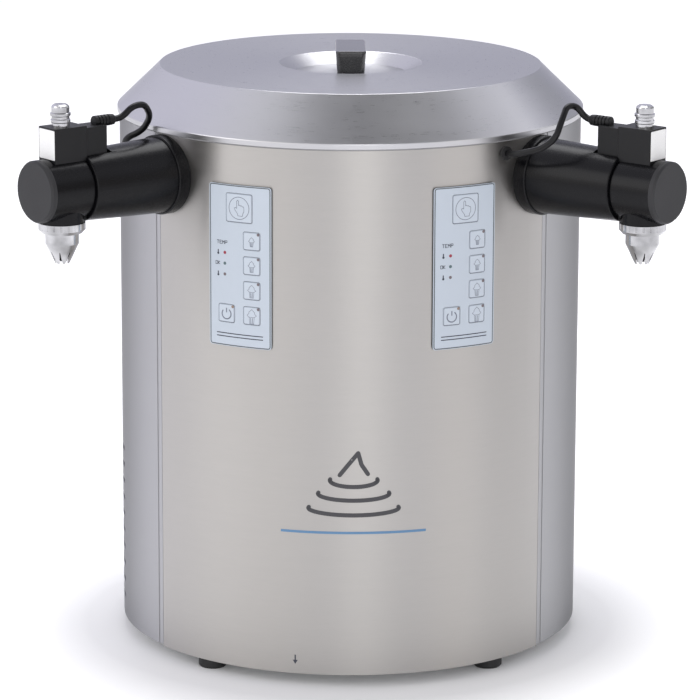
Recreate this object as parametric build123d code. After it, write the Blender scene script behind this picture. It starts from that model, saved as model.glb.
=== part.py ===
from build123d import *
import math
import os

# Twin-outlet whipped-cream dispenser. Millimetres, +Z up, front faces -Y,
# origin on the table under the middle of the round casing.
# An "azimuth" is measured about Z from the front (-Y) towards the right (+X).

# ---- casing ----
BODY_R = 220.0            # outside of the round casing
SHEET = 1.0               # casing sheet thickness
FOOT_HEIGHT = 12.0        # casing's lower edge above the table
SHELL_TOP = 506.0         # casing's upper edge
SEAM_AZIMUTH = 53.6       # joint between the front and the rear casing
SEAM_GAP = 0.15           # degrees of open joint each side
FOOT_R, FOOT_PITCH_R, FOOT_AZIMUTH = 13.5, 200.0, 40.4
VENT_COUNT, VENT_FIRST, VENT_PITCH, VENT_HEIGHT = 10, 33.0, 16.4, 5.0
VENT_FROM, VENT_TO, RIGHT_VENT_FROM = 80.0, 126.0, 98.0
LEAD_HOLE_R = 4.2

# ---- lid ----
RIM_R, RIM_LOW, RIM_HIGH = 222.0, 507.6, 512.3
TOP_R, TOP_Z = 181.5, 551.4
LID_SHEET = 1.5
DISH_R, DISH_FLOOR_R, DISH_DEPTH = 68.0, 54.0, 10.0
HANDLE_LENGTH, HANDLE_TOP_W, HANDLE_FOOT_W, HANDLE_RISE = 76.0, 29.4, 25.0, 16.0

# ---- cooling well, cans ----
WELL_W, WELL_D, WELL_R, WELL_CENTRE_Y = 280.0, 190.0, 30.0, 30.0
WELL_FLOOR, WELL_WALL = 262.0, 1.5
CAN_W, CAN_D, CAN_R, CAN_TOP = 124.0, 160.0, 24.0, 455.0
CAN_X = 72.0
COIL_ROOM, FOAM = 9.0, 13.0

# ---- dispensing arms: local +X is radial, heights are absolute ----
ARM_AZIMUTH = 51.7
ARM_Z = 469.0
SLEEVE_ROOT_R, SLEEVE_END_R = 36.0, 31.8
FLANGE_R, FLANGE_END = 36.9, 229.5
SLEEVE_END, HEAD_END, CAP_END = 317.0, 359.0, 365.0
HEAD_R, CAP_FACE_R = 28.5, 27.5
BORE_R = 12.0             # cream passage along the arm
VALVE_X = 335.5           # valve and nozzle axis from the casing's axis
COIL_IN, COIL_OUT, COIL_HALF_W = 315.4, 350.6, 13.2
COIL_LOW, COIL_HIGH = 494.5, 526.4
PLUG_IN, PLUG_LOW, PLUG_HIGH, PLUG_HALF_W = 292.0, 498.0, 524.0, 11.4
GLAND_Z, GLAND_R, GLAND_IN, GLAND_OUT = 526.5, 5.2, 277.0, 299.5
LEAD_R = 3.0
STEM_R, STEM_FIT = 4.0, 0.06

# ---- nozzle and its screwed collar ----
SPIGOT_R, SPIGOT_LOW, SPIGOT_BORE = 18.5, 433.0, 14.0
COLLAR_R, COLLAR_LOW, COLLAR_HIGH = 21.5, 429.0, 438.3
BOSS_R = 20.6
NOZZLE_R, NOZZLE_SHOULDER, NOZZLE_TIP, NOZZLE_TIP_R = 15.4, 419.0, 400.6, 6.6
NOZZLE_SLOTS, SLOT_TOP = 8, 412.0
GAP = 0.3                 # clearance between pieces that move apart

# ---- pumps, beside the well under each arm's root ----
PUMP_X, PUMP_R = 194.0, 23.0
PUMP_LOW, PUMP_HIGH, MOTOR_LOW = 450.0, 489.0, 352.0
PUMP_SHAFT_R, SHAFT_FIT = 4.0, 0.05

# ---- control panels ----
PANEL_AZIMUTH, PANEL_HALF_ANGLE = 27.65, 8.3
PANEL_LOW, PANEL_HIGH, PANEL_THICK = 319.0, 470.0, 2.0
KEY_GAP = 0.35
KEY_BACK, KEY_FACE = 221.0, 222.2
# name: (degrees right of the panel's middle, height, side length)
KEYS = {
    "manual": (0.0, 448.8, 26.6),
    "portion_1": (3.3, 419.1, 16.6),
    "portion_2": (3.3, 396.1, 16.6),
    "portion_3": (3.3, 373.0, 16.6),
    "portion_4": (3.3, 349.6, 16.6),
    "power": (-3.45, 349.7, 16.8),
}

os.makedirs("parts", exist_ok=True)


# ------------------------------------------------------------------ helpers
def cylinder(radius, low, high, x=0.0, y=0.0):
    return Pos(x, y, (low + high) / 2) * Cylinder(radius, high - low)


def cylinder_x(radius, start, end, y=0.0, z=0.0):
    return Pos((start + end) / 2, y, z) * Rot(0, 90, 0) * Cylinder(radius, end - start)


def cylinder_y(radius, start, end, x=0.0, z=0.0):
    return Pos(x, (start + end) / 2, z) * Rot(90, 0, 0) * Cylinder(radius, end - start)


def block(x_low, x_high, y_low, y_high, z_low, z_high):
    size = (x_high - x_low, y_high - y_low, z_high - z_low)
    centre = ((x_low + x_high) / 2, (y_low + y_high) / 2, (z_low + z_high) / 2)
    return Pos(*centre) * Box(*size)


def turned(profile, arc=360.0):
    """Solid of revolution about Z from (radius, height) points."""
    outline = Polyline(*[(r, 0, z) for r, z in profile], close=True)
    return revolve(make_face(outline), Axis.Z, arc)


def turned_x(profile, z=0.0):
    """Solid of revolution about X from (x, radius) points."""
    outline = Polyline(*[(x, r, 0) for x, r in profile], close=True)
    return Pos(0, 0, z) * revolve(make_face(outline), Axis.X, 360)


def at_azimuth(shape, azimuth):
    return Rot(0, 0, azimuth - 90) * shape


def band(inner, outer, azimuth_from, azimuth_to, low, high):
    """Part of a round wall between two azimuths."""
    profile = [(inner, low), (outer, low), (outer, high), (inner, high)]
    return at_azimuth(turned(profile, azimuth_to - azimuth_from), azimuth_from)


def rounded_box(width, depth, corner, low, high, x=0.0, y=0.0):
    plate = RectangleRounded(width, depth, corner)
    return Pos(x, y, low) * extrude(plate, amount=high - low)


def tub(width, depth, corner, wall, floor, top, y=0.0, x=0.0):
    """Open rounded box; width and depth are inside sizes."""
    outside = rounded_box(width + 2 * wall, depth + 2 * wall, corner + wall, floor - wall, top, x, y)
    return outside - rounded_box(width, depth, corner, floor, top + 1, x, y)


def pipe(points, radii, radius):
    """Round pipe along straight runs joined by tangent arcs."""
    path = FilletPolyline(*points, radius=radii)
    section = Plane(origin=path @ 0, z_dir=path % 0) * Circle(radius)
    return sweep(section, path=path)


def circle_edges(shape, height, radius=None):
    """Round edges of a turned shape at one height."""
    found = []
    for edge in shape.edges().filter_by(GeomType.CIRCLE):
        level = abs(edge.center().Z - height) < 0.05
        flat = abs(edge.bounding_box().size.Z) < 0.05
        if level and flat and (radius is None or abs(edge.radius - radius) < 0.1):
            found.append(edge)
    return found


def save(name, *shapes):
    solids = []
    for shape in shapes:
        solids.extend(shape.solids())
    whole = solids[0] if len(solids) == 1 else Compound(children=solids)
    export_step(whole, f"parts/{name}.step")


def both_arms(shape):
    return [at_azimuth(shape, side * ARM_AZIMUTH) for side in (-1, 1)]


SIDES = (("left", -ARM_AZIMUTH, -PANEL_AZIMUTH), ("right", ARM_AZIMUTH, PANEL_AZIMUTH))

# ------------------------------------------------------------------ base and feet
BASE_LOW, BASE_HIGH = FOOT_HEIGHT + 2.0, FOOT_HEIGHT + 4.0
inner_r = BODY_R - SHEET
foot_places = []
for azimuth in (-FOOT_AZIMUTH, FOOT_AZIMUTH, 180 - FOOT_AZIMUTH, 180 + FOOT_AZIMUTH):
    angle = math.radians(azimuth - 90)
    foot_places.append((FOOT_PITCH_R * math.cos(angle), FOOT_PITCH_R * math.sin(angle)))

base = cylinder(inner_r - 0.7, BASE_LOW, BASE_HIGH)
base += turned([(205.0, BASE_HIGH), (207.0, BASE_HIGH), (207.0, 28.0), (205.0, 28.0)])
for row in range(7):
    base -= block(20, 70, -60 + 22 * row, -52 + 22 * row, BASE_LOW - 1, BASE_HIGH + 1)
feet, foot_screws = [], []
for x, y in foot_places:
    base -= cylinder(2.6, BASE_LOW - 1, BASE_HIGH + 1, x, y)
    foot = Pos(x, y, 0) * turned([(0, 0), (12.0, 0), (FOOT_R, 2.0), (FOOT_R, BASE_LOW), (0, BASE_LOW)])
    foot -= cylinder(5.2, -1, 6.0, x, y)
    foot -= cylinder(2.6, 5.0, BASE_LOW + 1, x, y)
    feet.append(foot)
    foot_screws.append(cylinder(4.6, 3.4, 6.0, x, y) + cylinder(2.4, 6.0, BASE_HIGH + 4, x, y))
save("base_plate", base)
save("rubber_feet", *feet)
save("foot_screws", *foot_screws)

# ------------------------------------------------------------------ casing
arm_hole = cylinder_x(BORE_R + 1.5, 200, 240, z=ARM_Z)
arm_holes = both_arms(arm_hole)
right_grommet = (ARM_AZIMUTH - 12.4, 495.3)
left_grommet = (-ARM_AZIMUTH - 12.6, 482.0)
grommets = (left_grommet, right_grommet)

front = band(inner_r, BODY_R, -SEAM_AZIMUTH + SEAM_GAP, SEAM_AZIMUTH - SEAM_GAP, FOOT_HEIGHT, SHELL_TOP)
side_arc = SEAM_AZIMUTH + SEAM_GAP + 1.7
rear = band(inner_r, BODY_R, side_arc, 360 - side_arc, FOOT_HEIGHT + 1.2, SHELL_TOP)
for start in (SEAM_AZIMUTH + SEAM_GAP, 360 - side_arc - 0.15):
    rear += band(inner_r - 0.5, BODY_R - 0.5, start, start + 1.85, FOOT_HEIGHT + 1.2, SHELL_TOP)
for hole in arm_holes:
    front -= hole
    rear -= hole
for azimuth, height in grommets:
    opening = at_azimuth(cylinder_x(LEAD_HOLE_R, 200, 240, z=height), azimuth)
    front -= opening
    rear -= opening
for level in range(VENT_COUNT):
    middle = VENT_FIRST + VENT_PITCH * level
    for start in (RIGHT_VENT_FROM, 360 - VENT_TO):
        rear -= band(inner_r - 2, BODY_R + 2, start, start + VENT_TO - VENT_FROM,
                     middle - VENT_HEIGHT / 2, middle + VENT_HEIGHT / 2)
INLET_Z = 62.0
rear -= block(-29.3, 29.3, 200, 240, INLET_Z - 19.3, INLET_Z + 19.3)

# four upright posts tie the base to the deck and hold the casing
REAR_POSTS = (150, 210)
POST_AZIMUTHS = (-SEAM_AZIMUTH - 6, SEAM_AZIMUTH + 6) + REAR_POSTS
SCREW_HEIGHTS = (40.0, 250.0, 460.0)
posts, screws = [], []
for azimuth in POST_AZIMUTHS:
    post = block(209.0, 210.5, -9, 9, 28.2, 504.0)
    post += block(209.0, 216.9, -9, -7.5, 28.2, 504.0)
    screwed = SCREW_HEIGHTS if azimuth in REAR_POSTS else ()
    for height in screwed:
        post -= cylinder_x(2.1, 205, 214, z=height)
    posts.append(at_azimuth(post, azimuth))
    for height in screwed:
        screw = cylinder_x(4.0, BODY_R + 0.1, BODY_R + 1.9, z=height)
        screw += cylinder_x(2.0, 208.0, BODY_R + 1.0, z=height)
        screws.append(at_azimuth(screw, azimuth))
        rear -= at_azimuth(cylinder_x(2.2, 214, 226, z=height), azimuth)
posts = [post - cylinder(207.1, 20, 28.3) for post in posts]
save("frame_posts", *posts)
save("front_shell", front)
save("rear_shell", rear)
save("shell_screws", *screws)

well_outer = (WELL_W + 2 * WELL_WALL, WELL_D + 2 * WELL_WALL, WELL_R + WELL_WALL)
deck = cylinder(inner_r - 0.9, 504.0, 505.5)
deck -= rounded_box(well_outer[0] + 0.4, well_outer[1] + 0.4, well_outer[2] + 0.2, 500, 510, 0, WELL_CENTRE_Y)
save("top_deck", deck)

inlet = block(-29, 29, 217.6, 222.4, INLET_Z - 19, INLET_Z + 19)
inlet += block(-24.6, 24.6, 196, 218.5, INLET_Z - 14.6, INLET_Z + 14.6)
inlet -= block(-20.5, 20.5, 203, 223, INLET_Z - 10.5, INLET_Z + 10.5)
for x, height in ((-7, -3.5), (7, -3.5), (0, 3.5)):
    inlet += block(x - 1, x + 1, 202.5, 219, INLET_Z + height - 2, INLET_Z + height + 2)
save("power_inlet", inlet)

# ------------------------------------------------------------------ lid
top_in = TOP_Z - LID_SHEET
dish_floor = TOP_Z - DISH_DEPTH
lid_outside = [(0, dish_floor), (DISH_FLOOR_R, dish_floor), (DISH_R, TOP_Z), (TOP_R, TOP_Z), (RIM_R, RIM_HIGH)]
lid_edge = [(RIM_R, RIM_LOW), (RIM_R - LID_SHEET, RIM_LOW)]
lid_inside = [(RIM_R - LID_SHEET, RIM_HIGH - 0.64), (TOP_R - 0.61, top_in), (DISH_R + 0.9, top_in),
              (DISH_FLOOR_R + 0.9, top_in - DISH_DEPTH), (0, top_in - DISH_DEPTH)]
lid = turned(lid_outside + lid_edge + lid_inside)
lid = fillet(circle_edges(lid, TOP_Z, DISH_R), 2.0)
lid = fillet(circle_edges(lid, TOP_Z, TOP_R), 1.2)
lid = fillet(circle_edges(lid, RIM_HIGH, RIM_R), 1.2)
handle_screw_y = (-24.0, 24.0)
for y in handle_screw_y:
    lid -= cylinder(2.3, 530, 550, 0, y)
save("lid_shell", lid)

handle_foot = Pos(0, 0, dish_floor) * RectangleRounded(HANDLE_FOOT_W, HANDLE_LENGTH - 5, 4.0)
handle_top = Pos(0, 0, TOP_Z + HANDLE_RISE) * RectangleRounded(HANDLE_TOP_W, HANDLE_LENGTH, 4.5)
handle = loft([handle_foot, handle_top])
handle = fillet(handle.edges().group_by(Axis.Z)[-1], 1.8)
for y in handle_screw_y:
    handle -= cylinder(2.0, dish_floor - 1, dish_floor + 13, 0, y)
save("lid_handle", handle)
under_dish = dish_floor - LID_SHEET
handle_screws = []
for y in handle_screw_y:
    screw = cylinder(4.0, under_dish - 2.4, under_dish, 0, y)
    handle_screws.append(screw + cylinder(2.0, under_dish - 0.5, dish_floor + 12, 0, y))
save("lid_handle_screws", *handle_screws)
save("lid_liner", cylinder(RIM_R - LID_SHEET, RIM_LOW, RIM_LOW + 2.4))

# ------------------------------------------------------------------ cooling
well = tub(WELL_W, WELL_D, WELL_R, WELL_WALL, WELL_FLOOR, RIM_LOW - GAP, WELL_CENTRE_Y)
flange = rounded_box(WELL_W + 20, WELL_D + 20, WELL_R + 10, 505.5, RIM_LOW - GAP, 0, WELL_CENTRE_Y)
well += flange - rounded_box(WELL_W, WELL_D, WELL_R, 500, 510, 0, WELL_CENTRE_Y)
suction_hole = cylinder_x(6.6, 90, 175, z=ARM_Z)
for hole in both_arms(suction_hole):
    well -= hole
save("cooling_well", well)

insulation = tub(well_outer[0] + 2 * COIL_ROOM, well_outer[1] + 2 * COIL_ROOM, well_outer[2] + COIL_ROOM,
                 FOAM, WELL_FLOOR - WELL_WALL - 0.2, 503.8, WELL_CENTRE_Y)
insulation -= rounded_box(400, 400, 10, 503.7, 520)
for hole in both_arms(suction_hole):
    insulation -= hole
HEADER_X, TUBE_R = -60.0, 4.0
coil_w, coil_d, coil_r = well_outer[0] + 9.0, well_outer[1] + 9.0, well_outer[2] + 4.5
header_y = WELL_CENTRE_Y + coil_d / 2
insulation -= cylinder(5.0, 230, 270, HEADER_X, header_y)
save("well_insulation", insulation)

coil = cylinder(TUBE_R, 120, 434, HEADER_X, header_y)
coil += cylinder_y(TUBE_R, 89.8, header_y, HEADER_X, 124)
for level in (290, 325, 360, 395, 430):
    loop = Pos(0, WELL_CENTRE_Y, level) * RectangleRounded(coil_w, coil_d, coil_r).wire()
    ring = sweep(Plane(origin=loop @ 0, z_dir=loop % 0) * Circle(TUBE_R), path=loop)
    coil += ring
save("evaporator_coil", coil)

COMPRESSOR_X, COMPRESSOR_Y, COMPRESSOR_R = -75.0, 28.0, 62.0
compressor = turned([(0, 22), (44, 22), (58, 30), (62, 44), (62, 140), (56, 158), (38, 172), (0, 178)])
compressor += turned([(0, 19), (46, 19), (46, 26), (0, 26)])
compressor += rounded_box(150, 110, 12, 16.2, 19.2)
compressor = Pos(COMPRESSOR_X, COMPRESSOR_Y, 0) * compressor
save("compressor", compressor)

condenser = block(130, 166, -62, 108, 30, 172)
for slot in range(12):
    start = -53 + 13 * slot
    condenser -= block(129, 144, start, start + 8, 38, 164)
    condenser -= block(152, 167, start, start + 8, 38, 164)
condenser += block(130, 166, -62, 108, 16, 31)
save("condenser", condenser)

FAN_Y, FAN_Z = 23.0, 100.0
fan_frame = block(96, 121, FAN_Y - 60, FAN_Y + 60, FAN_Z - 60, FAN_Z + 60)
fan_frame -= cylinder_x(57.0, 90, 130, FAN_Y, FAN_Z)
for turn in range(4):
    strut = Pos(0, FAN_Y, FAN_Z) * Rot(90 * turn + 45, 0, 0) * block(118.6, 121, -2.5, 2.5, 0, 58.5)
    fan_frame += strut
fan_frame += cylinder_x(18.0, 118.6, 121, FAN_Y, FAN_Z)
fan_frame += cylinder_x(3.0, 100.0, 119, FAN_Y, FAN_Z)
fan_frame += block(96, 121, FAN_Y - 60, FAN_Y + 60, 16, 41)
fan_frame -= block(95, 122, FAN_Y - 52, FAN_Y + 52, 15, 32)
save("fan_frame", fan_frame)

fan = cylinder_x(20.0, 98.5, 118.2, FAN_Y, FAN_Z)
for blade in range(7):
    vane = Pos(108.4, 0, 36) * Rot(0, 0, 38) * Box(20, 2.4, 36)
    fan += Pos(0, FAN_Y, FAN_Z) * Rot(360 / 7 * blade, 0, 0) * vane
fan -= cylinder_x(3.0 + 0.06, 99.8, 118.6, FAN_Y, FAN_Z)
save("fan_blade", fan)

# ------------------------------------------------------------------ cream cans
can_lids, suction_tubes = [], []
SUCTION_DROP, SUCTION_R = 55.0, 6.0
for side, azimuth, _ in SIDES:
    sign = -1 if side == "left" else 1
    can = tub(CAN_W - 2, CAN_D - 2, CAN_R - 1, 1.0, WELL_FLOOR + 1.2, CAN_TOP, WELL_CENTRE_Y, sign * CAN_X)
    save("cream_can_" + side, can)
    cover = rounded_box(CAN_W + 2, CAN_D + 2, CAN_R + 1, CAN_TOP, CAN_TOP + 1.5, sign * CAN_X, WELL_CENTRE_Y)
    cover += rounded_box(CAN_W - 3, CAN_D - 3, CAN_R - 1.5, CAN_TOP - 4, CAN_TOP, sign * CAN_X, WELL_CENTRE_Y)
    angle = math.radians(azimuth - 90)
    drop_x, drop_y = SUCTION_DROP * math.cos(angle), SUCTION_DROP * math.sin(angle)
    cover -= cylinder(7.0, CAN_TOP - 6, CAN_TOP + 3, drop_x, drop_y)
    can_lids.append(cover)
    route = [(171.0, 0, ARM_Z), (SUCTION_DROP, 0, ARM_Z), (SUCTION_DROP, 0, WELL_FLOOR + 12)]
    path_tube = pipe(route, [12.0], SUCTION_R)
    inside = pipe(route, [12.0], SUCTION_R - 1.5)
    suction_tubes.append(at_azimuth(path_tube - inside, azimuth))
save("can_lids", *can_lids)
save("suction_tubes", *suction_tubes)

# ------------------------------------------------------------------ pumps
housing = cylinder(PUMP_R, PUMP_LOW, PUMP_HIGH, PUMP_X)
housing += cylinder_x(BORE_R, PUMP_X, 232.0, z=ARM_Z)
housing -= cylinder(16.4, 460.0, 478.0, PUMP_X)
housing -= cylinder_x(6.0, PUMP_X + 10, 233.0, z=ARM_Z)
housing -= cylinder_x(4.5, 165, PUMP_X - 10, z=ARM_Z)
housing -= cylinder(PUMP_SHAFT_R + SHAFT_FIT, PUMP_LOW - 1, 484.0, PUMP_X)
motor = cylinder(PUMP_R - 0.5, MOTOR_LOW, PUMP_LOW, PUMP_X)
motor -= cylinder(PUMP_SHAFT_R + 0.4, MOTOR_LOW + 8, PUMP_LOW + 1, PUMP_X)
motor += cylinder(9.0, MOTOR_LOW - 6, MOTOR_LOW, PUMP_X)
rotor = cylinder(PUMP_SHAFT_R, MOTOR_LOW + 8.4, 483.6, PUMP_X)
rotor += cylinder(9.0, 460.4, 477.6, PUMP_X)
for vane in range(6):
    rotor += Pos(PUMP_X, 0, ARM_Z) * Rot(0, 0, 60 * vane) * block(8, 16.0, -1.2, 1.2, -8.6, 8.6)
save("pump_motors", *both_arms(motor))
save("pump_housings", *both_arms(housing))
for side, azimuth, _ in SIDES:
    save("pump_shaft_" + side, at_azimuth(rotor, azimuth))

# ------------------------------------------------------------------ dispensing arms
casing_face = cylinder(BODY_R + 0.05, 400, 540)
sleeve = turned_x([(205, 0), (205, FLANGE_R), (FLANGE_END, FLANGE_R), (FLANGE_END, SLEEVE_ROOT_R - 0.9),
                   (SLEEVE_END, SLEEVE_END_R), (SLEEVE_END, 0)], ARM_Z)
rounded = []
for edge in sleeve.edges().filter_by(GeomType.CIRCLE):
    flange_edge = abs(edge.center().X - FLANGE_END) < 0.1 and abs(edge.radius - FLANGE_R) < 0.1
    if flange_edge or abs(edge.center().X - SLEEVE_END) < 0.1:
        rounded.append(edge)
sleeve = fillet(rounded, 1.2)
sleeve -= casing_face
sleeve -= cylinder_x(BORE_R + 0.1, 200, 320, z=ARM_Z)
sleeve -= block(288.5, 320, -PLUG_HALF_W - 1.5, PLUG_HALF_W + 1.5, PLUG_LOW - 0.5, 520)
sleeve -= block(COIL_IN - 0.5, 320, -COIL_HALF_W - 0.5, COIL_HALF_W + 0.5, COIL_LOW - 0.3, 520)
sleeve -= cylinder(COLLAR_R + 0.6, 420, 452.5, VALVE_X)

head = cylinder_x(HEAD_R, SLEEVE_END + 1.0, HEAD_END, z=ARM_Z)
head += cylinder_x(BORE_R + 6.0, SLEEVE_END, SLEEVE_END + 2, z=ARM_Z)
head -= block(310, COIL_OUT + GAP, -30, 30, COIL_LOW, 520)
head += cylinder(BOSS_R, COLLAR_HIGH + GAP, ARM_Z - 18, VALVE_X)
head += cylinder(SPIGOT_R, SPIGOT_LOW, COLLAR_HIGH + 1.7, VALVE_X)
head -= cylinder_x(BORE_R, SLEEVE_END - 1, VALVE_X + 6, z=ARM_Z)
head -= cylinder(8.0, 447.0, ARM_Z + 8, VALVE_X)
head -= cylinder(5.0, 440.0, 448.0, VALVE_X)
head -= cylinder(SPIGOT_BORE, SPIGOT_LOW - 1, 441.0, VALVE_X)
head -= cylinder(STEM_R + STEM_FIT, ARM_Z, 500.0, VALVE_X)
cap = turned_x([(HEAD_END, 0), (HEAD_END, HEAD_R), (CAP_END - 2.0, HEAD_R),
                (CAP_END, CAP_FACE_R - 0.6), (CAP_END, 0)], ARM_Z)
for side, azimuth, _ in SIDES:
    save("arm_sleeve_" + side, at_azimuth(sleeve, azimuth))
    save("dispensing_head_" + side, at_azimuth(head, azimuth))
save("head_caps", *both_arms(cap))

insert = cylinder_x(3.5, 234.0, 318.0, z=ARM_Z)
for disc in range(9):
    start = 236.0 + 9.6 * disc
    baffle = cylinder_x(BORE_R - 0.2, start, start + 3.0, z=ARM_Z)
    baffle -= block(start - 1, start + 4, -2.5, 2.5, ARM_Z + 5, ARM_Z + 20)
    baffle -= block(start - 1, start + 4, -2.5, 2.5, ARM_Z - 20, ARM_Z - 5)
    insert += baffle
save("texture_inserts", *both_arms(insert))

coil_body = block(COIL_IN, COIL_OUT, -COIL_HALF_W, COIL_HALF_W, COIL_LOW, COIL_HIGH)
coil_body = fillet(coil_body.edges().filter_by(Axis.Z), 0.8)
coil_body = fillet(coil_body.edges().group_by(Axis.Z)[-1], 0.6)
coil_body -= cylinder(STEM_R + 0.4, COIL_LOW - 1, COIL_HIGH + 1, VALVE_X)
nut_rings = [(0, 0), (8.3, 0), (8.3, 3.4), (9.0, 4.2), (9.0, 6.4), (8.2, 7.2), (8.2, 9.2), (9.4, 10.0),
             (9.4, 12.2), (8.2, 12.9), (8.2, 17.6), (7.6, 19.0), (5.8, 20.2), (0, 20.4)]
nut = Pos(VALVE_X, 0, COIL_HIGH) * turned(nut_rings)
nut -= cylinder(STEM_R + 0.4, COIL_HIGH - 1, 536.0, VALVE_X)
save("valve_coils", *both_arms(coil_body))
save("coil_nuts", *both_arms(nut))

plunger = cylinder(STEM_R, 452.0, 531.0, VALVE_X)
valve_disc = turned([(0, 447.4), (6.6, 447.4), (7.2, 449.0), (7.2, 455.0), (4.0, 457.0), (0, 457.0)])
plunger += Pos(VALVE_X, 0, 0) * valve_disc
for side, azimuth, _ in SIDES:
    save("valve_plunger_" + side, at_azimuth(plunger, azimuth))

plug = block(PLUG_IN, COIL_IN, -PLUG_HALF_W, PLUG_HALF_W, PLUG_LOW, PLUG_HIGH)
plug = fillet(plug.edges().filter_by(Axis.Z), 1.2)
groove_r = GLAND_R - 0.7
gland_profile = [(GLAND_OUT, 0), (GLAND_OUT, GLAND_R - 0.8), (GLAND_OUT - 0.8, GLAND_R), (GLAND_OUT - 3.4, GLAND_R)]
for rib in range(4):
    start = GLAND_OUT - 3.4 - 3.6 * rib
    gland_profile += [(start, groove_r), (start - 1.2, groove_r), (start - 1.2, GLAND_R), (start - 3.6, GLAND_R)]
gland_profile += [(GLAND_IN + 1.0, GLAND_R - 0.4), (GLAND_IN, GLAND_R - 1.2), (GLAND_IN, 0)]
plug += turned_x(gland_profile, GLAND_Z)
plug -= cylinder_x(LEAD_R, GLAND_IN - 1, GLAND_IN + 10, z=GLAND_Z)
save("valve_plugs", *both_arms(plug))

# leads, each in its own arm's frame: gland, loop, casing grommet
def grommet_point(azimuth, arm, height, radius):
    angle = math.radians(azimuth - arm)
    return (radius * math.cos(angle), radius * math.sin(angle), height)


right_route = [(GLAND_IN + 10, 0, GLAND_Z), (272, 0, GLAND_Z), (263, -3, 538), (260, -14, 539), (263, -27, 527),
               (264, -37, 513), (252, -43, 502.5),
               grommet_point(right_grommet[0], ARM_AZIMUTH, right_grommet[1], 232),
               grommet_point(right_grommet[0], ARM_AZIMUTH, right_grommet[1], 214)]
left_route = [(GLAND_IN + 10, 0, GLAND_Z), (268, 0, GLAND_Z), (256, 0, 536), (241, -2, 536.5), (228.5, -9, 523),
              (228, -23, 507), (238, -38, 498.5),
              grommet_point(left_grommet[0], -ARM_AZIMUTH, left_grommet[1], 233),
              grommet_point(left_grommet[0], -ARM_AZIMUTH, left_grommet[1], 214)]


def arc_radii(points):
    """Arc at each corner: 0.45 of the shorter run over the tangent of half the turn."""
    radii = []
    for before, corner, after in zip(points, points[1:], points[2:]):
        a, b = Vector(*corner) - Vector(*before), Vector(*after) - Vector(*corner)
        turn = math.radians(a.get_angle(b))
        radii.append(0.45 * min(a.length, b.length) / math.tan(turn / 2))
    return radii


for side, azimuth, route in (("left", -ARM_AZIMUTH, left_route), ("right", ARM_AZIMUTH, right_route)):
    radii = arc_radii(route)
    print(side, "lead arc radii", [round(radius, 1) for radius in radii])
    lead = pipe(route, radii, LEAD_R)
    save("valve_lead_" + side, at_azimuth(lead, azimuth))

grommet_pieces = []
for azimuth, height in grommets:
    ring = cylinder_x(6.4, 220.1, 223.2, z=height) + cylinder_x(LEAD_HOLE_R, 216.5, 221.0, z=height)
    ring -= cylinder_x(LEAD_R, 210, 230, z=height)
    grommet_pieces.append(at_azimuth(ring, azimuth))
save("wall_grommets", *grommet_pieces)

# ------------------------------------------------------------------ collars and star nozzles
collar = turned([
    (SPIGOT_R + GAP, COLLAR_HIGH), (COLLAR_R, COLLAR_HIGH), (COLLAR_R, COLLAR_LOW + 3.0),
    (COLLAR_R - 2.6, COLLAR_LOW), (NOZZLE_R + GAP, COLLAR_LOW), (NOZZLE_R + GAP, COLLAR_LOW + 1.9),
    (SPIGOT_R + GAP, COLLAR_LOW + 1.9)])
for rib in range(20):
    collar -= Rot(0, 0, 18 * rib) * cylinder(0.7, COLLAR_LOW + 4.0, COLLAR_HIGH + 1, COLLAR_R + 0.25)
flange_low = COLLAR_LOW + 1.9 + 0.05
nozzle_outside = turned([
    (0, flange_low + 1.6), (SPIGOT_R - 0.1, flange_low + 1.6), (SPIGOT_R - 0.1, flange_low),
    (NOZZLE_R, flange_low), (NOZZLE_R, NOZZLE_SHOULDER), (NOZZLE_TIP_R, NOZZLE_TIP), (0, NOZZLE_TIP)])
nozzle_inside = turned([
    (0, flange_low + 3), (NOZZLE_R - 1.2, flange_low + 3), (NOZZLE_R - 1.2, NOZZLE_SHOULDER + 0.5),
    (NOZZLE_TIP_R - 1.2, NOZZLE_TIP), (NOZZLE_TIP_R - 1.5, NOZZLE_TIP - 1), (0, NOZZLE_TIP - 1)])
nozzle = nozzle_outside - nozzle_inside
slot_foot = NOZZLE_TIP - 0.5
wedge = Polyline((0, -0.3, SLOT_TOP), (0, 0.3, SLOT_TOP), (0, 1.5, slot_foot), (0, -1.5, slot_foot), close=True)
slot_cutter = extrude(make_face(wedge), amount=20)
for slot in range(NOZZLE_SLOTS):
    nozzle -= Rot(0, 0, 360 / NOZZLE_SLOTS * slot) * slot_cutter
for side, azimuth, _ in SIDES:
    save("nozzle_collar_" + side, at_azimuth(Pos(VALVE_X, 0, 0) * collar, azimuth))
    save("star_nozzle_" + side, at_azimuth(Pos(VALVE_X, 0, 0) * nozzle, azimuth))

# ------------------------------------------------------------------ control panels
def key_block(offset, height, side_length, grow, back, face):
    half_angle = math.degrees((side_length / 2 + grow) / BODY_R)
    half = side_length / 2 + grow
    pad = band(back, face, offset - half_angle, offset + half_angle, height - half, height + half)
    corners = [edge for edge in pad.edges() if edge.length < (face - back) * 1.1]
    return fillet(corners, 2.0 + grow)


for side, _, azimuth in SIDES:
    keypad = band(BODY_R, BODY_R + PANEL_THICK, azimuth - PANEL_HALF_ANGLE, azimuth + PANEL_HALF_ANGLE,
                  PANEL_LOW, PANEL_HIGH)
    corners = [edge for edge in keypad.edges() if edge.length < PANEL_THICK * 1.1]
    keypad = fillet(corners, 3.0)
    for name, (offset, height, size) in KEYS.items():
        keypad -= key_block(azimuth + offset, height, size, KEY_GAP, BODY_R - 1, BODY_R + PANEL_THICK + 1)
        save(f"key_{name}_{side}", key_block(azimuth + offset, height, size, 0.0, KEY_BACK, KEY_FACE))
    save("keypad_" + side, keypad)
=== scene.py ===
import math

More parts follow.
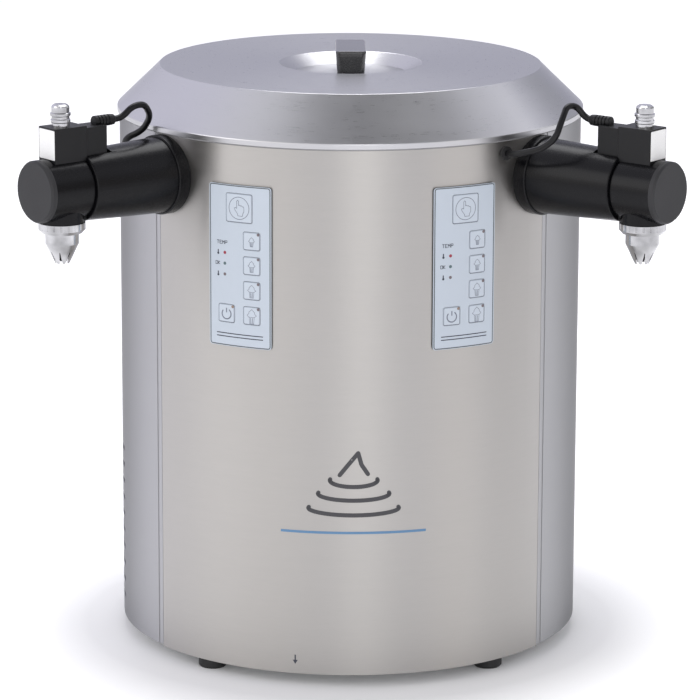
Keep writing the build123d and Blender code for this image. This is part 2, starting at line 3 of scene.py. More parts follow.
import bmesh
import bpy
from mathutils import Euler, Matrix, Vector


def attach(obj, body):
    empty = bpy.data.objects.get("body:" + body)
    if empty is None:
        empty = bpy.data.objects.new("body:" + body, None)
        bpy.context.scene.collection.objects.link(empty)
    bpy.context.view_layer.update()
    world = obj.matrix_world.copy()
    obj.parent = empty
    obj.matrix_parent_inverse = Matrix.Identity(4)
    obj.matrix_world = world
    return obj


# Twin whipped-cream dispenser: metres, front faces -Y, azimuths in degrees from the front towards +X.
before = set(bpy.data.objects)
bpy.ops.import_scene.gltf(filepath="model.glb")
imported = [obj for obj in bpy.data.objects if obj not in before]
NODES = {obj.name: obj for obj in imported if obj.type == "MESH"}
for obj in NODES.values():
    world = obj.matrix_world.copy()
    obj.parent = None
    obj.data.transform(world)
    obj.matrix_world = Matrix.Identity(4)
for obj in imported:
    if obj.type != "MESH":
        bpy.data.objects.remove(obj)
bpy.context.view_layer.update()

MM = 0.001
ARM_AZIMUTH = 51.7
CASING_R = 0.220
PANEL_AZIMUTH, PANEL_HEIGHT = 27.65, 0.3945
PANEL_W, PANEL_H, PANEL_FACE = 0.0637, 0.151, 0.222
KEY_FACE = 0.2222
PRINT_LIFT = 0.00007
FILM_EDGE, KEY_EDGE = 0.2218, 0.2212          # outside these radii the film shows its print colour; inside them its edges are painted near-black shade
KEYS = {  # degrees right of the panel's middle, height, side length
    "manual": (0.0, 0.4488, 0.0266),
    "portion_1": (3.3, 0.4191, 0.0166),
    "portion_2": (3.3, 0.3961, 0.0166),
    "portion_3": (3.3, 0.3730, 0.0166),
    "portion_4": (3.3, 0.3496, 0.0166),
    "power": (-3.45, 0.3497, 0.0168),
}


# ---------------------------------------------------------------- material tools
GRAIN_TURN = 0.25         # quarter turn, so that highlights stretch across the brushing


class Maker:
    """A node material with its Principled shader and short ways to wire it."""

    def __init__(self, name, colour, roughness, metallic=0.0, coat=0.0):
        self.mat = bpy.data.materials.new(name)
        self.mat.use_nodes = True
        self.tree = self.mat.node_tree
        self.shader = self.tree.nodes["Principled BSDF"]
        self.shader.inputs["Base Color"].default_value = (*colour, 1)
        self.shader.inputs["Roughness"].default_value = roughness
        self.shader.inputs["Metallic"].default_value = metallic
        self.shader.inputs["Coat Weight"].default_value = coat

    def node(self, kind, **values):
        made = self.tree.nodes.new(kind)
        for key, value in values.items():
            setattr(made, key, value)
        return made

    def link(self, source, target):
        self.tree.links.new(source, target)

    def math(self, operation, first, second=0.0):
        made = self.node("ShaderNodeMath", operation=operation)
        for slot, value in ((0, first), (1, second)):
            if isinstance(value, (int, float)):
                made.inputs[slot].default_value = value
            else:
                self.link(value, made.inputs[slot])
        return made.outputs[0]

    def place(self):
        return self.node("ShaderNodeTexCoord").outputs["Object"]

    def noise(self, vector, scale, detail=2.0, rough=0.5):
        made = self.node("ShaderNodeTexNoise")
        self.link(vector, made.inputs["Vector"])
        made.inputs["Scale"].default_value = scale
        made.inputs["Detail"].default_value = detail
        made.inputs["Roughness"].default_value = rough
        return made.outputs["Fac"]

    def spread(self, value, low, high, source_low=0.3, source_high=0.7):
        made = self.node("ShaderNodeMapRange")
        self.link(value, made.inputs["Value"])
        limits = {"From Min": source_low, "From Max": source_high, "To Min": low, "To Max": high}
        for key, amount in limits.items():
            made.inputs[key].default_value = amount
        return made.outputs["Result"]

    def bump(self, height, strength, distance):
        made = self.node("ShaderNodeBump")
        made.inputs["Strength"].default_value = strength
        made.inputs["Distance"].default_value = distance
        self.link(height, made.inputs["Height"])
        self.link(made.outputs["Normal"], self.shader.inputs["Normal"])

    def axis_distance(self):
        """Distance of the shaded point from the machine's upright axis."""
        split = self.node("ShaderNodeSeparateXYZ")
        self.link(self.place(), split.inputs["Vector"])
        squares = [self.math("MULTIPLY", split.outputs[axis], split.outputs[axis]) for axis in ("X", "Y")]
        return self.math("SQRT", self.math("ADD", *squares))

    def tint(self, value, dark, light):
        made = self.node("ShaderNodeMix", data_type="RGBA")
        self.link(value, made.inputs["Factor"])
        made.inputs["A"].default_value = (*dark, 1)
        made.inputs["B"].default_value = (*light, 1)
        self.link(made.outputs["Result"], self.shader.inputs["Base Color"])


def shade(colour, factor):
    return tuple(min(1.0, c * factor) for c in colour)


def grain_vector(maker, along, across):
    """Texture place for grain that runs round the vertical axis: slow in angle, quick in height."""
    split = maker.node("ShaderNodeSeparateXYZ")
    maker.link(maker.place(), split.inputs["Vector"])
    angle = maker.math("ARCTAN2", split.outputs["X"], maker.math("MULTIPLY", split.outputs["Y"], -1.0))
    joined = maker.node("ShaderNodeCombineXYZ")
    maker.link(maker.math("MULTIPLY", angle, along), joined.inputs["X"])
    maker.link(maker.math("MULTIPLY", split.outputs["Z"], across), joined.inputs["Y"])
    return joined.outputs["Vector"]


def lathe_vector(maker, along, across):
    """Texture place for fine rings round the vertical axis."""
    split = maker.node("ShaderNodeSeparateXYZ")
    maker.link(maker.place(), split.inputs["Vector"])
    flat = maker.node("ShaderNodeCombineXYZ")
    maker.link(split.outputs["X"], flat.inputs["X"])
    maker.link(split.outputs["Y"], flat.inputs["Y"])
    length = maker.node("ShaderNodeVectorMath", operation="LENGTH")
    maker.link(flat.outputs["Vector"], length.inputs[0])
    angle = maker.math("ARCTAN2", split.outputs["X"], split.outputs["Y"])
    joined = maker.node("ShaderNodeCombineXYZ")
    maker.link(maker.math("MULTIPLY", angle, along), joined.inputs["X"])
    maker.link(maker.math("MULTIPLY", length.outputs["Value"], across), joined.inputs["Y"])
    return joined.outputs["Vector"]


def brushed(name, colour, roughness, vector_tool, stretch=0.8, contrast=0.03, relief=0.06, edge=0.85):
    """Brushed sheet; a low `edge` darkens it where it turns away from the eye."""
    maker = Maker(name, colour, roughness, metallic=1.0)
    maker.shader.inputs["Specular Tint"].default_value = (edge, edge, edge, 1)
    fine = maker.noise(vector_tool(maker, 14.0, 2600.0), 1.0, 3.0)
    broad = maker.noise(vector_tool(maker, 3.0, 160.0), 1.0, 2.0)
    both = maker.math("ADD", maker.math("MULTIPLY", fine, 0.7), maker.math("MULTIPLY", broad, 0.3))
    maker.tint(maker.spread(both, 0.0, 1.0), shade(colour, 1 - contrast), shade(colour, 1 + contrast))
    maker.link(maker.spread(both, roughness - 0.04, roughness + 0.05), maker.shader.inputs["Roughness"])
    maker.shader.inputs["Anisotropic"].default_value = stretch
    maker.shader.inputs["Anisotropic Rotation"].default_value = GRAIN_TURN
    tangent = maker.node("ShaderNodeTangent", direction_type="RADIAL", axis="Z")
    maker.link(tangent.outputs["Tangent"], maker.shader.inputs["Tangent"])
    maker.bump(fine, relief, 0.0002)
    return maker.mat


def moulded(name, colour, roughness, grain=900.0, depth=0.12, coat=0.0, gloss=0.5):
    maker = Maker(name, colour, roughness, coat=coat)
    maker.shader.inputs["Specular IOR Level"].default_value = gloss
    fine = maker.noise(maker.place(), grain, 3.0, 0.6)
    broad = maker.noise(maker.place(), 22.0, 2.0)
    maker.tint(maker.spread(broad, 0.0, 1.0), shade(colour, 0.88), shade(colour, 1.12))
    maker.link(maker.spread(fine, roughness - 0.05, roughness + 0.07), maker.shader.inputs["Roughness"])
    maker.bump(fine, depth, 0.0003)
    return maker.mat


def turned_steel(name, colour, roughness, streak=0.93):
    maker = Maker(name, colour, roughness, metallic=1.0)
    split = maker.node("ShaderNodeSeparateXYZ")
    maker.link(maker.place(), split.inputs["Vector"])
    rings = maker.node("ShaderNodeCombineXYZ")
    maker.link(maker.math("MULTIPLY", split.outputs["Z"], 3200.0), rings.inputs["Z"])
    fine = maker.noise(rings.outputs["Vector"], 1.0, 2.0)
    maker.link(maker.spread(fine, roughness - 0.05, roughness + 0.06), maker.shader.inputs["Roughness"])
    patches = maker.noise(maker.place(), 60.0)
    maker.tint(maker.spread(patches, 0.0, 1.0), shade(colour, streak), colour)
    maker.bump(fine, 0.05, 0.0001)
    return maker.mat


def panel_film(name, colour, face_radius):
    """Printed film on the outside of a curved plate whose edges are painted near-black shade."""
    maker = Maker(name, colour, 0.42)
    on_face = maker.math("GREATER_THAN", maker.axis_distance(), face_radius)
    # the plate's edges, inside face_radius, are painted near-black shade
    maker.tint(on_face, (0.05, 0.06, 0.065), colour)
    maker.bump(maker.noise(maker.place(), 2200.0, 3.0), 0.04, 0.0003)
    return maker.mat


def flat_print(name, colour, roughness=0.45):
    maker = Maker(name, colour, roughness)
    speck = maker.noise(maker.place(), 1500.0, 2.0)
    maker.tint(maker.spread(speck, 0.0, 1.0), shade(colour, 0.94), shade(colour, 1.05))
    return maker.mat


casing_steel = brushed("casing_steel", (0.450, 0.436, 0.418), 0.33, grain_vector, relief=0.04)
side_steel = brushed("side_steel", (0.49, 0.49, 0.50), 0.40, grain_vector, edge=0.40)
lid_steel = brushed("lid_steel", (0.56, 0.56, 0.575), 0.30, lathe_vector,
                    stretch=0.3, contrast=0.01, relief=0.008)
inner_steel = brushed("inner_steel", (0.60, 0.61, 0.62), 0.38, grain_vector, stretch=0.3)
bright_steel = turned_steel("bright_steel", (0.66, 0.66, 0.67), 0.15, streak=0.55)
arm_black = moulded("arm_black", (0.004, 0.004, 0.005), 0.24, grain=1400.0, depth=0.03, gloss=0.20)
cap_black = moulded("cap_black", (0.022, 0.022, 0.024), 0.55, grain=1200.0, depth=0.10, gloss=0.4)
coil_black = moulded("coil_black", (0.008, 0.008, 0.009), 0.42, grain=700.0, depth=0.15, gloss=0.28)
handle_black = moulded("handle_black", (0.007, 0.007, 0.008), 0.26, grain=800.0, depth=0.06, coat=0.7)
rubber_black = moulded("rubber_black", (0.014, 0.014, 0.015), 0.55, grain=500.0, depth=0.20)
# painted shade for the joint under the lid's rim
painted_joint_shade_grey = moulded("painted_joint_shade_grey", (0.30, 0.30, 0.31), 0.5, grain=500.0, depth=0.05)
lead_black = moulded("lead_black", (0.006, 0.006, 0.007), 0.32, grain=900.0, depth=0.06, gloss=0.28)
liner_white = moulded("liner_white", (0.80, 0.80, 0.78), 0.40, grain=600.0, depth=0.08)
foam_yellow = moulded("foam_yellow", (0.72, 0.62, 0.34), 0.85, grain=260.0, depth=0.6)
copper = turned_steel("copper", (0.72, 0.38, 0.24), 0.32)
aluminium = turned_steel("aluminium", (0.75, 0.76, 0.77), 0.36)
paint_black = moulded("paint_black", (0.020, 0.020, 0.021), 0.30, grain=300.0, depth=0.10, coat=0.3)
film = panel_film("film", (0.49, 0.545, 0.61), FILM_EDGE)
key_film = panel_film("key_film", (0.52, 0.575, 0.64), KEY_EDGE)
# painted highlight on the keys' upper and left outline edges
painted_key_highlight = flat_print("painted_key_highlight", (0.30, 0.35, 0.42))
ink_dark = flat_print("ink_dark", (0.030, 0.035, 0.055))
# key symbols, and painted shade on the keys' right and lower outline edges
ink_and_painted_shade_grey = flat_print("ink_and_painted_shade_grey", (0.17, 0.19, 0.24))
ink_border = flat_print("ink_border", (0.075, 0.09, 0.10))
badge_grey = flat_print("badge_grey", (0.045, 0.045, 0.05), 0.35)
badge_accent = flat_print("badge_accent", (0.10, 0.22, 0.38), 0.35)
label_white = flat_print("label_white", (0.86, 0.86, 0.85), 0.5)
led_off = flat_print("led_off", (0.16, 0.13, 0.14), 0.3)
led_green = flat_print("led_green", (0.09, 0.14, 0.15), 0.3)
led_amber = flat_print("led_amber", (0.26, 0.19, 0.15), 0.3)
led_red = flat_print("led_red", (0.30, 0.025, 0.05), 0.3)

LOOKS = {
    casing_steel: ("front_shell",),
    side_steel: ("rear_shell",),
    lid_steel: ("lid_shell",),
    inner_steel: ("base_plate", "can_lids", "cooling_well", "cream_can_left", "cream_can_right", "top_deck",
                  "frame_posts", "pump_housings", "pump_shaft_left", "pump_shaft_right",
                  "valve_plunger_left", "valve_plunger_right"),
    bright_steel: ("coil_nuts", "nozzle_collar_left", "nozzle_collar_right", "star_nozzle_left",
                   "star_nozzle_right", "shell_screws", "foot_screws", "lid_handle_screws"),
    arm_black: ("arm_sleeve_left", "arm_sleeve_right", "dispensing_head_left", "dispensing_head_right"),
    cap_black: ("head_caps",),
    coil_black: ("valve_coils", "valve_plugs", "power_inlet", "fan_blade", "fan_frame"),
    handle_black: ("lid_handle",),
    rubber_black: ("rubber_feet", "wall_grommets"),
    lead_black: ("valve_lead_left", "valve_lead_right"),
    liner_white: ("lid_liner", "suction_tubes", "texture_inserts"),
    foam_yellow: ("well_insulation",),
    copper: ("evaporator_coil",),
    aluminium: ("condenser",),
    paint_black: ("compressor", "pump_motors"),
    film: ("keypad_left", "keypad_right"),
    key_film: tuple(f"key_{name}_{side}" for name in KEYS for side in ("left", "right")),
}
for look, names in LOOKS.items():
    for name in names:
        NODES[name].data.materials.clear()
        NODES[name].data.materials.append(look)


# ---------------------------------------------------------------- print, painted shade and painted highlight on the round front
def rounded_outline(width, height, corner, steps=6):
    """Rectangle with rounded corners, anticlockwise about its middle."""
    points = []
    for cx, cy, start in ((1, 1, 0), (-1, 1, 90), (-1, -1, 180), (1, -1, 270)):
        for step in range(steps + 1):
            a = math.radians(start + 90 * step / steps)
            points.append((cx * (width / 2 - corner) + corner * math.cos(a),
                           cy * (height / 2 - corner) + corner * math.sin(a)))
    return points


def dense(points, spacing=0.0025):
    """Closed outline with extra points on its long runs, so that it follows the curve of the casing."""
    out = []
    for (ax, ay), (bx, by) in zip(points, points[1:] + points[:1]):
        parts = max(1, int(math.hypot(bx - ax, by - ay) / spacing))
        out += [(ax + (bx - ax) * k / parts, ay + (by - ay) * k / parts) for k in range(parts)]
    return out


def ring(outer, thickness):
    """Quads between an outline and the same outline moved inwards."""
    outer = dense(outer)
    inner = []
    for before, here, after in zip(outer[-1:] + outer[:-1], outer, outer[1:] + outer[:1]):
        tx, ty = after[0] - before[0], after[1] - before[1]
        size = math.hypot(tx, ty) or 1.0
        inner.append((here[0] - ty / size * thickness, here[1] + tx / size * thickness))
    quads = []
    for k in range(len(outer)):
        n = (k + 1) % len(outer)
        quads.append([outer[k], outer[n], inner[n], inner[k]])
    return quads


def circle(cx, cy, radius, steps):
    angles = [2 * math.pi * k / steps for k in range(steps)]
    return [(cx + radius * math.cos(a), cy + radius * math.sin(a)) for a in angles]


def bar(x0, y0, x1, y1, width):
    dx, dy = x1 - x0, y1 - y0
    size = math.hypot(dx, dy)
    nx, ny = -dy / size * width / 2, dx / size * width / 2
    return [(x0 + nx, y0 + ny), (x0 - nx, y0 - ny), (x1 - nx, y1 - ny), (x1 + nx, y1 + ny)]


def stroke(points, width):
    """A drawn line: a bar along each run and a round dot at each point."""
    bars = [bar(*a, *b, width) for a, b in zip(points, points[1:])]
    return bars + [circle(*point, width / 2, 8) for point in points]


def raised(shapes, up):
    return [[(x, y + up) for x, y in shape] for shape in shapes]


def level_line(half_count, level, width):
    """Straight level line in 2 mm bars, short enough to follow the casing's curve."""
    return [bar(x * 2 * MM, level, (x + 1) * 2 * MM, level, width) for x in range(-half_count, half_count)]


def new_piece(name, mesh, material):
    piece = bpy.data.objects.new(name, mesh)
    bpy.context.collection.objects.link(piece)
    mesh.materials.append(material)
    return piece


def printed(name, shapes, azimuth, height, radius, material, body):
    """Thin ink shapes, given as (across, up) outlines, laid on the casing's round face; some are painted
    shade or painted highlight.
    """
    mesh = bpy.data.meshes.new(name)
    bm = bmesh.new()
    for shape in shapes:
        ring_points = []
        for across, up in shape:
            a = math.radians(azimuth) + across / radius
            ring_points.append(bm.verts.new((radius * math.sin(a), -radius * math.cos(a), height + up)))
        bm.faces.new(ring_points)
    bmesh.ops.triangulate(bm, faces=bm.faces[:], ngon_method="EAR_CLIP")
    outward = Vector((math.sin(math.radians(azimuth)), -math.cos(math.radians(azimuth)), 0))
    for face in bm.faces:
        if face.normal.dot(outward) < 0:
            face.normal_flip()
    bm.to_mesh(mesh)
    bm.free()
    piece = new_piece(name, mesh, material)
    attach(piece, body)


def on_panel(name, shapes, azimuth, height, material):
    printed(name, shapes, azimuth, height, PANEL_FACE + PRINT_LIFT, material, "machine")


def on_front(name, shapes, azimuth, height, material):
    printed(name, shapes, azimuth, height, CASING_R + PRINT_LIFT, material, "machine")


def thermometer(size):
    return [bar(0, -0.3 * size, 0, 0.9 * size, 0.5 * size), circle(0, -0.5 * size, 0.5 * size, 16),
            circle(0, 0.9 * size, 0.25 * size, 10)]


def closed_line(points, width):
    return stroke(points + points[:1], width)


def pointing_hand(size, width):
    """Outline of a hand with its first finger up."""
    outline = [
        (-0.34, 0.0), (-0.34, 1.0), (-0.2, 1.14), (-0.04, 1.0), (-0.04, 0.42), (0.12, 0.5), (0.24, 0.36),
        (0.4, 0.42), (0.52, 0.26), (0.68, 0.3), (0.78, 0.12), (0.78, -0.4), (0.6, -0.72), (0.56, -1.05),
        (-0.16, -1.05), (-0.22, -0.76), (-0.62, -0.24), (-0.7, 0.02), (-0.56, 0.1)]
    return closed_line([(x * size, y * size) for x, y in outline], width)


def cream_cup(width, height, line):
    """Outline of a pointed swirl of cream in a small cup."""
    w, h = width / 2, height / 2
    swirl = [(-0.55 * w, -0.1 * h), (-w, 0.15 * h), (-0.6 * w, 0.42 * h), (-0.62 * w, 0.6 * h), (0, h),
             (0.62 * w, 0.6 * h), (0.6 * w, 0.42 * h), (w, 0.15 * h), (0.55 * w, -0.1 * h)]
    cup = [(-0.55 * w, -0.1 * h), (-0.42 * w, -h), (0.42 * w, -h), (0.55 * w, -0.1 * h)]
    ribs = [bar(x * w, -0.2 * h, x * w * 0.8, -0.95 * h, 1.5 * line) for x in (-0.24, 0.16)]
    return stroke(swirl, line) + closed_line(cup, line) + ribs


def power_mark(size):
    """Open ring with a bar in its gap."""
    angles = [math.radians(a) for a in range(38, 323, 15)]
    arc = [(size * math.sin(a), size * math.cos(a)) for a in angles]
    return stroke(arc, 0.24 * size) + [bar(0, 0.25 * size, 0, 1.15 * size, 0.24 * size)]


def word_shapes(text, height):
    """Outlines of a short plain word, from straight strokes on a 4 by 6 grid."""
    letters = {
        "T": [[(0, 6), (4, 6)], [(2, 6), (2, 0)]],
        "E": [[(4, 6), (0, 6), (0, 0), (4, 0)], [(0, 3), (3, 3)]],
        "M": [[(0, 0), (0, 6), (2, 3), (4, 6), (4, 0)]],
        "P": [[(0, 0), (0, 6), (4, 6), (4, 3), (0, 3)]],
        "O": [[(0, 0), (0, 6), (4, 6), (4, 0), (0, 0)]],
        "K": [[(0, 0), (0, 6)], [(4, 6), (0, 3), (4, 0)]],
    }
    unit = height / 6
    shapes, x = [], -len(text) * 2.9
    for letter in text:
        for line in letters[letter]:
            shapes += stroke([((x + px) * unit, (py - 3) * unit) for px, py in line], 1.1 * unit)
        x += 5.8
    return shapes


# height and colour of the three status lamps on each panel
LAMPS = ((0.4062, led_red), (0.3962, led_green), (0.3861, led_off))
WORD_HEIGHT = 0.4157
WORD_SHIFT, MARK_SHIFT, LAMP_SHIFT = -4.55, -5.75, -3.9       # degrees from the panel's middle
LAMP_R = 1.5 * MM
KEY_LAMP_IN, KEY_LAMP_R = 1.75 * MM, 1.4 * MM
# a key's outline within this of its right or lower edge is painted shade
SHADED_EDGE = 1.2 * MM


def split_frame(outline, thickness, right, low):
    """A frame's quads: those right of `right` or under `low`, which are painted as shade, and the rest,
    which are painted as highlight.
    """
    shaded, lit = [], []
    for quad in ring(outline, thickness):
        x, y = quad[0]
        if x > right or y < low:
            shaded.append(quad)
        else:
            lit.append(quad)
    return shaded, lit


def key_marks(name):
    """Symbol in the middle of a key; a bigger portion has a bigger cup."""
    if name == "manual":
        hand = raised(pointing_hand(6.6 * MM, 0.5 * MM), -0.2 * MM)
        return ring(circle(0, 0, 10.6 * MM, 40), 0.6 * MM) + hand
    if name == "power":
        return raised(power_mark(4.8 * MM), -0.6 * MM)
    portion = int(name[-1])
    cup = cream_cup((5.0 + 1.1 * portion) * MM, (7.0 + 1.6 * portion) * MM, 0.42 * MM)
    return raised(cup, -0.6 * MM)


for side, sign in (("left", -1), ("right", 1)):
    middle = sign * PANEL_AZIMUTH
    border = ring(rounded_outline(PANEL_W - 1.0 * MM, PANEL_H - 1.0 * MM, 2.6 * MM), 0.9 * MM)
    on_panel(f"panel_border_{side}", border, middle, PANEL_HEIGHT, ink_border)
    foot_rules = level_line(12, -63.6 * MM, 0.9 * MM) + level_line(12, -66.6 * MM, 0.9 * MM)
    on_panel(f"panel_rules_{side}", foot_rules, middle, PANEL_HEIGHT, ink_dark)
    for name, (offset, height, size) in KEYS.items():
        body = f"{name}_key_{side}"
        here = middle + offset
        face = KEY_FACE + PRINT_LIFT
        half = size / 2
        outline = rounded_outline(size - 0.3 * MM, size - 0.3 * MM, 1.4 * MM)
        # the outline's right and lower sides are painted shade, its upper and left sides a painted
        # highlight
        shaded, lit = split_frame(outline, 0.5 * MM, half - SHADED_EDGE, -half + SHADED_EDGE)
        marks = key_marks(name)
        printed(f"key_print_{name}_{side}", shaded + marks, here, height, face, ink_and_painted_shade_grey, body)
        printed(f"key_painted_highlight_{name}_{side}", lit, here, height, face, painted_key_highlight, body)
        if name != "manual":
            dot = circle(half - KEY_LAMP_IN, half - KEY_LAMP_IN, KEY_LAMP_R, 16)
            lamp = led_amber if name == "power" else led_off
            over = face + PRINT_LIFT
            printed(f"key_light_{name}_{side}", [dot], here, height, over, lamp, body)
    word = word_shapes("TEMP", 3.0 * MM)
    on_panel(f"temp_word_{side}", word, middle + WORD_SHIFT, WORD_HEIGHT, ink_dark)
    for row, (lamp_height, lamp) in enumerate(LAMPS):
        if row == 1:
            mark = word_shapes("OK", 2.8 * MM)
        else:
            mark = thermometer(2.2 * MM)
        on_panel(f"temp_mark_{row}_{side}", mark, middle + MARK_SHIFT, lamp_height, ink_dark)
        dot = circle(0, 0, LAMP_R, 18)
        on_panel(f"temp_lamp_{row}_{side}", [dot], middle + LAMP_SHIFT, lamp_height, lamp)

# a plain cream-swirl pictogram on the front with a rule under it, and the small downward arrow at the foot
PICTOGRAM_AZIMUTH, PICTOGRAM_HEIGHT, RULE_HEIGHT = 0.5, 0.196, 0.149
ARROW_AZIMUTH, ARROW_HEIGHT = -13.6, 0.026
SWIRL_LINE = 4.0 * MM
swirl = []
for width, level in ((42, -24), (33, -10), (22, 3)):
    angles = [math.radians(a) for a in range(170, 371, 10)]
    curve = [(width * MM * math.cos(a), level * MM + 6.2 * MM * math.sin(a)) for a in angles]
    swirl += stroke(curve, SWIRL_LINE)
peak = [(-13, 8), (-5, 18), (4, 29), (7, 18), (13, 9)]
swirl += stroke([(x * MM, y * MM) for x, y in peak], SWIRL_LINE)
on_front("front_pictogram", swirl, PICTOGRAM_AZIMUTH, PICTOGRAM_HEIGHT, badge_grey)
on_front("front_rule", level_line(34, 0, 2.4 * MM), PICTOGRAM_AZIMUTH, RULE_HEIGHT, badge_accent)
arrow = [bar(0, 4 * MM, 0, -1 * MM, 1.3 * MM),
         [(-2.4 * MM, -1 * MM), (2.4 * MM, -1 * MM), (0, -5 * MM)]]
on_front("foot_arrow", arrow, ARROW_AZIMUTH, ARROW_HEIGHT, ink_dark)


# ---------------------------------------------------------------- label plates and painted shade at the lid's joint
def arm_point(azimuth, along, across, height):
    """Point beside an arm: so far out along it and so far across it."""
    a = math.radians(azimuth - 90)
    x = math.cos(a) * along - math.sin(a) * across
    y = math.sin(a) * along + math.cos(a) * across
    return Vector((x, y, height))


def join_rings(bm, rings):
    """Quads between each ring of vertices and the next."""
    for low, high in zip(rings, rings[1:]):
        for k in range(len(low)):
            n = (k + 1) % len(low)
            bm.faces.new([low[k], low[n], high[n], high[k]])


COIL_FACE = 0.35061
LABEL_W, LABEL_H, LABEL_Z = 0.0238, 0.0270, 0.5114
LABEL_SHIFT = 0.4 * MM                        # towards the coil's front edge
LABEL_LAYERS = ((0.0, 0.0), (0.35 * MM, 0.0), (0.5 * MM, 0.2 * MM))      # depth, inset


def coil_label(side, azimuth):
    """Blank white type plate on the outward face of the valve coil."""
    outline = rounded_outline(LABEL_W, LABEL_H, 1.0 * MM)
    shift = LABEL_SHIFT if side == "left" else -LABEL_SHIFT
    mesh = bpy.data.meshes.new(f"coil_label_{side}")
    bm = bmesh.new()
    rings = []
    for depth, inset in LABEL_LAYERS:
        wide, tall = 1 - 2 * inset / LABEL_W, 1 - 2 * inset / LABEL_H
        points = [(COIL_FACE + depth, shift + x * wide, LABEL_Z + z * tall) for x, z in outline]
        rings.append([bm.verts.new(arm_point(azimuth, *point)) for point in points])
    join_rings(bm, rings)
    bm.faces.new(rings[-1])
    bm.faces.new(list(reversed(rings[0])))
    bmesh.ops.recalc_face_normals(bm, faces=bm.faces[:])
    bm.to_mesh(mesh)
    bm.free()
    piece = new_piece(f"coil_label_{side}", mesh, label_white)
    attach(piece, "machine")


for side, azimuth in (("left", -ARM_AZIMUTH), ("right", ARM_AZIMUTH)):
    coil_label(side, azimuth)

# mid-grey ring of painted shade in the joint under the lid's rim
SHADE_RING_IN, SHADE_RING_OUT, SHADE_RING_LOW, SHADE_RING_HIGH = 0.2174, 0.2197, 0.50606, 0.50755
SHADE_RING_STEPS = 240


def lid_joint_painted_shade():
    """Grey ring that fills the joint between the lid's rim and the casing: painted shade standing in for
    the soft shadow there.
    """
    mesh = bpy.data.meshes.new("lid_joint_painted_shade")
    bm = bmesh.new()
    angles = [2 * math.pi * k / SHADE_RING_STEPS for k in range(SHADE_RING_STEPS)]
    profile = ((SHADE_RING_IN, SHADE_RING_LOW), (SHADE_RING_OUT, SHADE_RING_LOW), (SHADE_RING_OUT, SHADE_RING_HIGH), (SHADE_RING_IN, SHADE_RING_HIGH))
    rings = [[bm.verts.new((r * math.sin(a), -r * math.cos(a), z)) for a in angles] for r, z in profile]
    join_rings(bm, rings + rings[:1])
    bmesh.ops.recalc_face_normals(bm, faces=bm.faces[:])
    bm.to_mesh(mesh)
    bm.free()
    shade_ring = new_piece("lid_joint_painted_shade", mesh, painted_joint_shade_grey)
    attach(shade_ring, "lid")


lid_joint_painted_shade()

# ---------------------------------------------------------------- stage, light and camera
GLOW_IN_PAINTED_SHADOW, GLOW_FAR = 0.04, 0.34              # the floor glows less close to the machine: a painted shadow round its foot
PAINTED_SHADOW_RADIUS, PAINTED_SHADOW_FADE_RADIUS = 0.255, 0.33
floor_mesh = bpy.data.meshes.new("floor")
floor_mesh.from_pydata([(-30, -30, 0), (30, -30, 0), (30, 30, 0), (-30, 30, 0)], [], [(0, 1, 2, 3)])
floor = bpy.data.objects.new("floor", floor_mesh)
bpy.context.collection.objects.link(floor)
floor_look = Maker("floor_white_with_painted_shadow", (0.92, 0.92, 0.92), 0.8)
floor_look.shader.inputs["Emission Color"].default_value = (1.0, 1.0, 1.0, 1)
# painted shadow: the floor glows less within these radii of the machine
glow_with_painted_shadow = floor_look.spread(floor_look.axis_distance(), GLOW_IN_PAINTED_SHADOW, GLOW_FAR, PAINTED_SHADOW_RADIUS, PAINTED_SHADOW_FADE_RADIUS)
floor_look.link(glow_with_painted_shadow, floor_look.shader.inputs["Emission Strength"])
floor_look.shader.inputs["Specular IOR Level"].default_value = 0.0
floor_mesh.materials.append(floor_look.mat)

LAMP_AIM = Vector((0, 0, 0.3))


def softbox(name, azimuth, distance, height, width, tall, power, colour=(1, 1, 1)):
    data = bpy.data.lights.new(name, "AREA")
    data.shape = "RECTANGLE"
    data.size, data.size_y = width, tall
    data.energy = power
    data.color = colour
    lamp = bpy.data.objects.new(name, data)
    a = math.radians(azimuth)
    lamp.location = (distance * math.sin(a), -distance * math.cos(a), height)
    lamp.rotation_euler = (LAMP_AIM - lamp.location).to_track_quat("-Z", "Y").to_euler()
    bpy.context.collection.objects.link(lamp)


softbox("front_strip", 6, 3.4, 1.8, 0.9, 2.0, 8)
softbox("left_box", -70, 3.0, 2.0, 1.8, 1.8, 12, (0.98, 0.98, 1.0))
softbox("right_box", 110, 3.2, 2.2, 1.2, 1.6, 5)
softbox("top_box", 172, 1.2, 3.0, 1.8, 1.8, 34)


def direction(azimuth, elevation):
    """Unit vector from the machine towards a place in the sky."""
    a, e = math.radians(azimuth), math.radians(elevation)
    return (math.sin(a) * math.cos(e), -math.cos(a) * math.cos(e), math.sin(e))


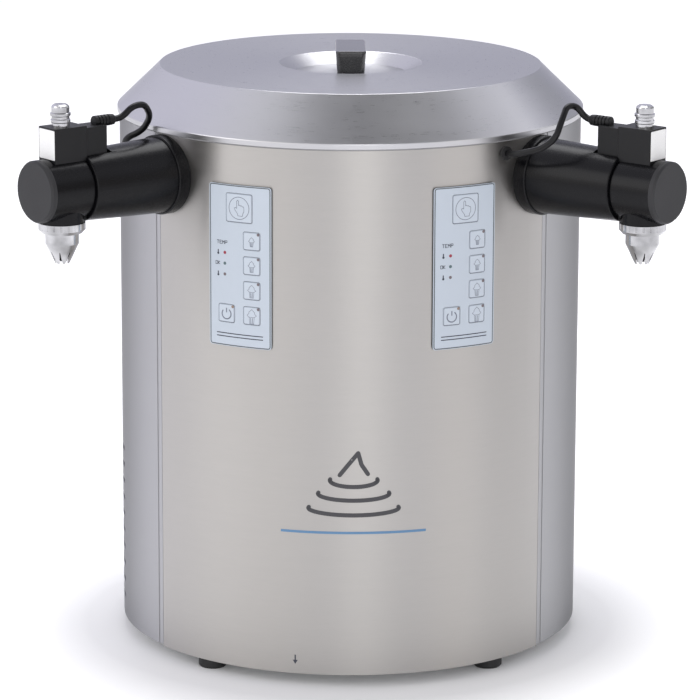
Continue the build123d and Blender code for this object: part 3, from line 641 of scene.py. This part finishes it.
world = bpy.data.worlds.new("studio")
bpy.context.scene.world = world
world.use_nodes = True
sky = world.node_tree
sky_place = sky.nodes.new("ShaderNodeTexCoord").outputs["Generated"]
backdrop = sky.nodes["Background"]
SKY_STRENGTH = 1.12
SKY_BASE = (0.74, 0.74, 0.79)
SKY_PATCHES = (  # azimuth, elevation, full inside, gone outside (degrees), colour
    (180, 10, 20, 75, (0.50, 0.50, 0.60)),
    (-125, 15, 15, 55, (0.80, 0.79, 0.92)),
    (132, 4, 8, 28, (0.30, 0.31, 0.30)),
    (-52, 12, 12, 42, (1.20, 1.17, 1.14)),
    (6, 12, 5, 22, (1.30, 1.29, 1.28)),
    (54, 10, 4, 20, (1.15, 1.08, 1.02)),
    (86, 8, 6, 24, (0.16, 0.15, 0.14)),
    (50, 78, 6, 38, (0.09, 0.09, 0.10)),
)
last = None
for azimuth, elevation, inside, outside, colour in SKY_PATCHES:
    near = sky.nodes.new("ShaderNodeVectorMath")
    near.operation = "DOT_PRODUCT"
    sky.links.new(sky_place, near.inputs[0])
    near.inputs[1].default_value = direction(azimuth, elevation)
    fade = sky.nodes.new("ShaderNodeMapRange")
    fade.interpolation_type = "SMOOTHSTEP"
    sky.links.new(near.outputs["Value"], fade.inputs["Value"])
    fade.inputs["From Min"].default_value = math.cos(math.radians(outside))
    fade.inputs["From Max"].default_value = math.cos(math.radians(inside))
    mix = sky.nodes.new("ShaderNodeMix")
    mix.data_type = "RGBA"
    sky.links.new(fade.outputs["Result"], mix.inputs["Factor"])
    mix.inputs["A"].default_value = (*SKY_BASE, 1)
    mix.inputs["B"].default_value = (*colour, 1)
    if last is not None:
        sky.links.new(last, mix.inputs["A"])
    last = mix.outputs["Result"]
sky.links.new(last, backdrop.inputs["Color"])
backdrop.inputs["Strength"].default_value = SKY_STRENGTH

CAMERA_DISTANCE, CAMERA_HEIGHT = 3.659, 1.145
CAMERA_PITCH, CAMERA_AZIMUTH, CAMERA_ROLL = 12.69, -0.64, 0.2      # degrees
PHOTO_SIZE, FOCAL_PIXELS = 700, 3885.5
CAMERA_SHIFT_X, CAMERA_SHIFT_Y = 0.0005, -0.0743
camera_data = bpy.data.cameras.new("camera")
camera_data.sensor_width = 36.0
camera_data.lens = FOCAL_PIXELS / PHOTO_SIZE * camera_data.sensor_width
camera_data.shift_x = CAMERA_SHIFT_X
camera_data.shift_y = CAMERA_SHIFT_Y
camera_data.clip_end = 100
camera = bpy.data.objects.new("camera", camera_data)
turn = math.radians(CAMERA_AZIMUTH)
camera.location = (CAMERA_DISTANCE * math.sin(turn), -CAMERA_DISTANCE * math.cos(turn), CAMERA_HEIGHT)
level = Euler((math.radians(90 - CAMERA_PITCH), 0, turn)).to_matrix()
camera.rotation_euler = (level @ Matrix.Rotation(math.radians(CAMERA_ROLL), 3, "Z")).to_euler()
bpy.context.collection.objects.link(camera)
bpy.context.scene.camera = camera
bpy.context.scene.view_settings.view_transform = "Standard"

bpy.context.view_layer.update()
